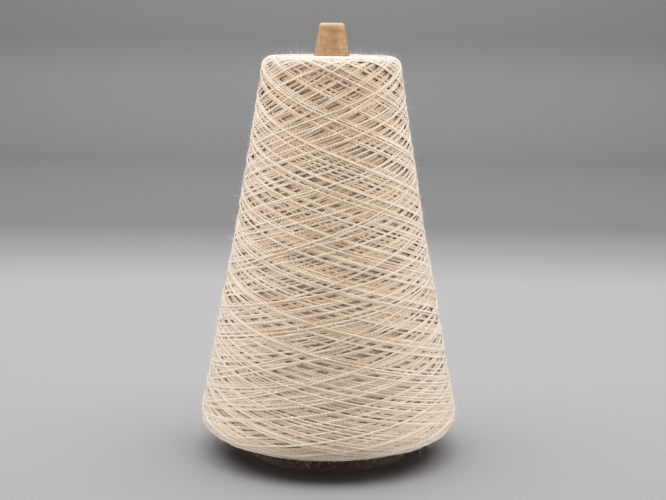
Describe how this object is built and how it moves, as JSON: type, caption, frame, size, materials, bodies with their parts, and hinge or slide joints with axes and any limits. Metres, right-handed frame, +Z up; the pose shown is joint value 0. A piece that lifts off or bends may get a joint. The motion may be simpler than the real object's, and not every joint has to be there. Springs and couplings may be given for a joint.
{
  "type": "cone of yarn",
  "caption": "Natural cream yarn cross-wound into a tapered package on a hollow kraft paper cone that stands on its wide open end.",
  "frame": {"origin": "centre of the tube's wide rim, on the surface that the cone stands on", "axes": "+Z up along the tube's axis, towards its nose; the camera side is -Y"},
  "size_m": [0.1086, 0.1086, 0.178],
  "materials": {
    "kraft_paper": "matt kraft paper",
    "natural_yarn": "undyed wool, plied and cross-wound, slightly fuzzy"
  },
  "bodies": {
    "root": {"paper_tube": "kraft_paper", "yarn_package": "natural_yarn"}
  },
  "joints": []
}
